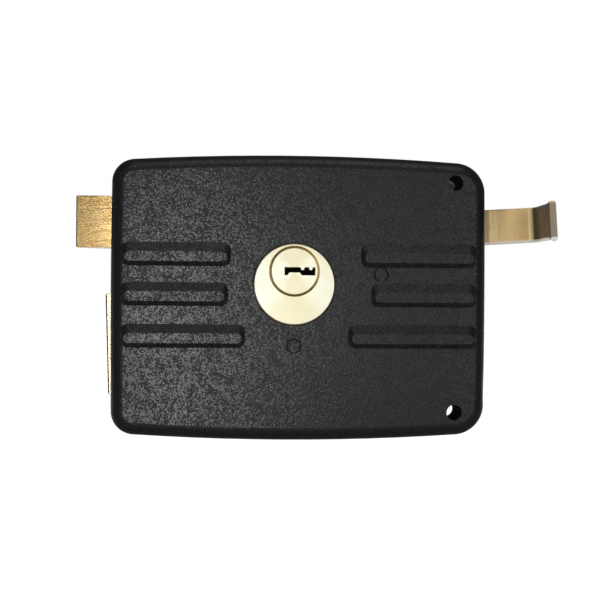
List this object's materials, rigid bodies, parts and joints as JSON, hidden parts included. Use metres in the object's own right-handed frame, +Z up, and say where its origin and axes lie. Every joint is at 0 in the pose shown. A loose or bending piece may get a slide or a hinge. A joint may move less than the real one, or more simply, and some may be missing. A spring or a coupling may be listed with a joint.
{
  "type": "surface-mounted gate lock",
  "caption": "Surface-mounted gate lock in a black ribbed case with a sprung brass latch, a geared deadbolt, a pull hook and a dimple-key cylinder on each side.",
  "frame": {"origin": "where the axis of the round key cylinders meets the gate's face, in the plane of the back plate's rear face", "axes": "+X to the right seen from the room side (towards the pull hook), +Y into the gate along the cylinders, +Z up"},
  "size_m": [0.1635, 0.082, 0.097],
  "materials": {
    "black_paint": "wrinkle black stove enamel",
    "brass": "machined and lightly polished",
    "yellow_plated_steel": "yellow zinc plated",
    "zinc_plated_steel": "clear zinc plated",
    "spring_steel": "oiled spring steel"
  },
  "bodies": {
    "case": {"front_cover": "black_paint", "back_plate": "zinc_plated_steel", "cover_screws": "zinc_plated_steel", "bridge_plate": "zinc_plated_steel", "bridge_posts": "zinc_plated_steel", "bridge_screws": "zinc_plated_steel", "inner_cylinder_body": "brass", "outer_cylinder_body": "brass", "inner_cylinder_screws": "zinc_plated_steel", "outer_cylinder_screws": "zinc_plated_steel", "inner_driver_pins": "zinc_plated_steel", "outer_driver_pins": "zinc_plated_steel", "inner_pin_springs": "spring_steel", "outer_pin_springs": "spring_steel", "inner_chamber_caps": "brass", "outer_chamber_caps": "brass", "gear_axle": "zinc_plated_steel", "axle_clip": "spring_steel", "bolt_guides": "zinc_plated_steel", "lever_stud": "zinc_plated_steel", "lever_clip": "spring_steel", "latch_spring": "spring_steel", "spring_bracket": "zinc_plated_steel", "bracket_rivets": "zinc_plated_steel"},
    "inner_plug_group": {"inner_plug": "brass", "inner_plug_clip": "spring_steel", "inner_key_pins": "brass", "drive_gear": "zinc_plated_steel"},
    "outer_plug_group": {"outer_plug": "brass", "outer_plug_clip": "spring_steel", "outer_key_pins": "brass"},
    "reduction_group": {"reduction_gear": "zinc_plated_steel"},
    "deadbolt_group": {"deadbolt_head": "brass", "rack_plate": "zinc_plated_steel", "deadbolt_rivets": "zinc_plated_steel"},
    "latch_group": {"latch_head": "brass", "latch_bar": "zinc_plated_steel", "latch_rivets": "zinc_plated_steel", "pull_hook": "yellow_plated_steel", "hook_rivets": "zinc_plated_steel", "lever_pin": "zinc_plated_steel", "spring_rod": "zinc_plated_steel"},
    "lever_group": {"latch_lever": "zinc_plated_steel"}
  },
  "joints": [
    {"name": "inner_plug_turn", "type": "hinge", "parent": "case", "child": "inner_plug_group", "pos_m": [0, -0.02, 0.0044], "axis": [0, -1, 0], "range_deg": [0, 360]},
    {"name": "reduction_gear_turn", "type": "hinge", "parent": "case", "child": "reduction_group", "pos_m": [0, -0.006, -0.0209], "axis": [0, -1, 0], "range_deg": [-192, 0]},
    {"name": "deadbolt_slide", "type": "slide", "parent": "case", "child": "deadbolt_group", "axis": [-1, 0, 0], "range_m": [0, 0.02212]},
    {"name": "outer_plug_turn", "type": "hinge", "parent": "case", "child": "outer_plug_group", "pos_m": [0, 0.02, 0.0044], "axis": [0, -1, 0], "range_deg": [0, 360]},
    {"name": "latch_slide", "type": "slide", "parent": "case", "child": "latch_group", "axis": [1, 0, 0], "range_m": [0, 0.012], "stiffness_N_per_m": 250, "springref_m": -0.01, "deforming": ["latch_spring"]},
    {"name": "latch_lever_swing", "type": "hinge", "parent": "case", "child": "lever_group", "pos_m": [0.047, -0.0104, -0.042], "axis": [0, 1, 0], "range_deg": [0, 10.85]}
  ],
  "couplings": [
    {"joint": "inner_plug_turn", "follows": "deadbolt_slide", "rad_per_m": 284.09},
    {"joint": "reduction_gear_turn", "follows": "deadbolt_slide", "rad_per_m": -151.52},
    {"joint": "latch_lever_swing", "follows": "latch_slide", "rad_per_m": 15.775}
  ]
}
